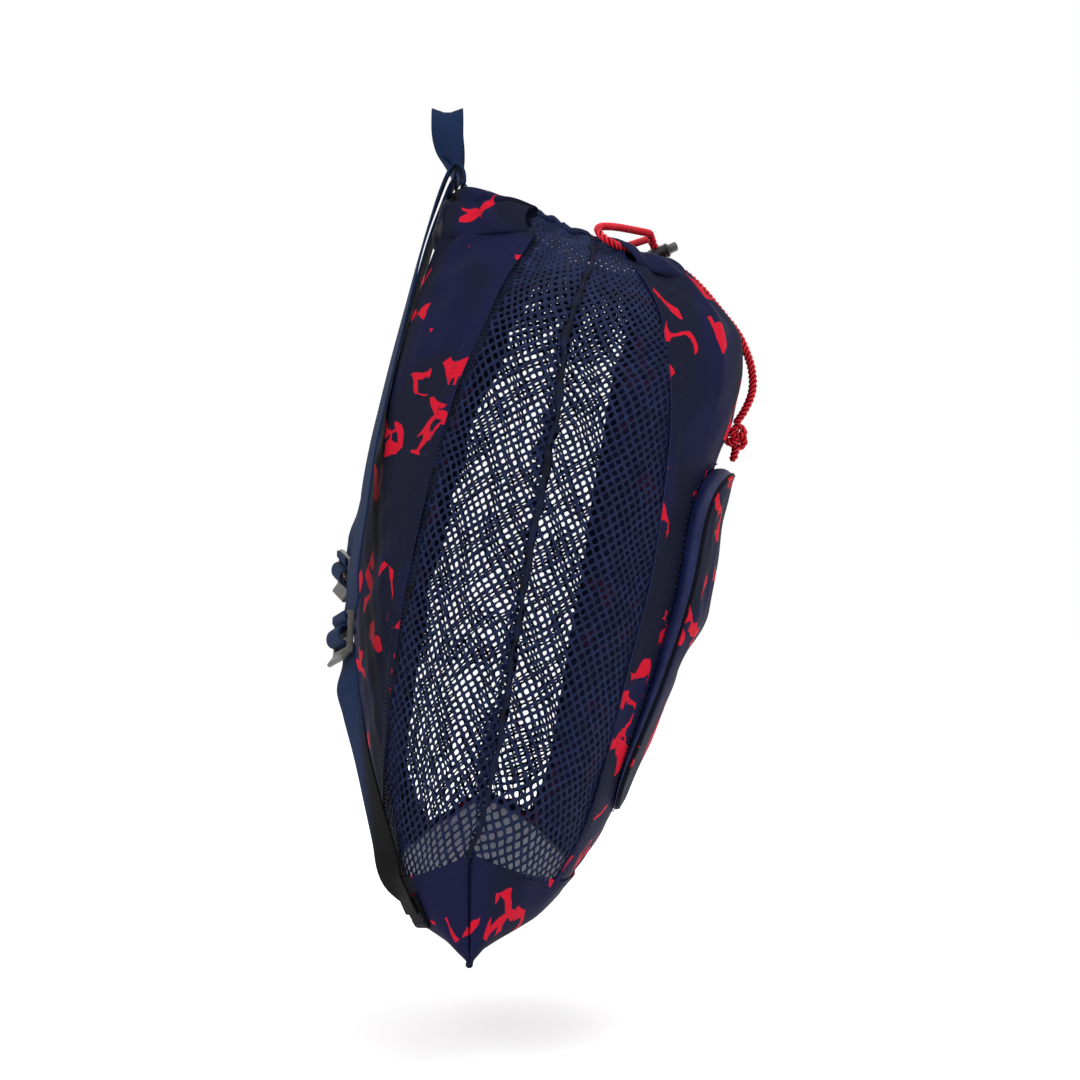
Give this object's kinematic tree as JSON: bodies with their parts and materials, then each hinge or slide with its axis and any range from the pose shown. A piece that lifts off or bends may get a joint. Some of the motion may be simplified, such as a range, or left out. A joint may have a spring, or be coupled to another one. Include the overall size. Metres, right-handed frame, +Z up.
{
  "type": "mesh backpack",
  "caption": "Soft drawstring swim backpack with printed cloth front, back and base, open net sides, a cord-closed mouth, webbing straps and a raised front pocket, hung by its grab loop.",
  "frame": {"origin": "place inside the top of the grab loop where the bag hangs on a hook", "axes": "+Z up, -Y out of the front pocket, +Y out of the back with the shoulder straps, -X the wearer's left"},
  "size_m": [0.3298, 0.2815, 0.5211],
  "materials": {
    "print_fabric": "smooth woven polyester, indigo and slate with red brush strokes",
    "mesh": "open knitted net",
    "navy_webbing": "ribbed polyester webbing",
    "black_webbing": "ribbed webbing",
    "red_cord": "twisted polyester cord",
    "black_plastic": "satin",
    "grey_plastic": "satin",
    "pocket_trim": "plain navy cloth band"
  },
  "bodies": {
    "bag": {"back_panel": "print_fabric", "front_panel": "print_fabric", "base_panel": "print_fabric", "casing_back": "print_fabric", "casing_front": "print_fabric", "pocket_front": "print_fabric", "net_left_back": "mesh", "net_left_front": "mesh", "net_right_back": "mesh", "net_right_front": "mesh", "side_seam_left": "mesh", "side_seam_right": "mesh", "grab_loop": "navy_webbing", "strap_left_upper": "navy_webbing", "strap_left_lower": "navy_webbing", "strap_right_upper": "navy_webbing", "strap_right_lower": "navy_webbing", "anchor_left": "black_webbing", "anchor_right": "black_webbing", "drawcord_left": "red_cord", "drawcord_right": "red_cord", "drawcord_knot": "red_cord", "cord_tail_left": "red_cord", "cord_tail_right": "red_cord", "cord_lock_barrel": "black_plastic", "buckle_left": "grey_plastic", "buckle_right": "grey_plastic", "pocket_gusset": "pocket_trim"},
    "plunger": {"cord_lock_plunger": "grey_plastic"}
  },
  "joints": [
    {"name": "plunger_press", "type": "slide", "parent": "bag", "child": "plunger", "axis": [0, 0.9136, -0.4067], "range_m": [0, 0.004], "stiffness_N_per_m": 400, "springref_m": -0.004}
  ]
}
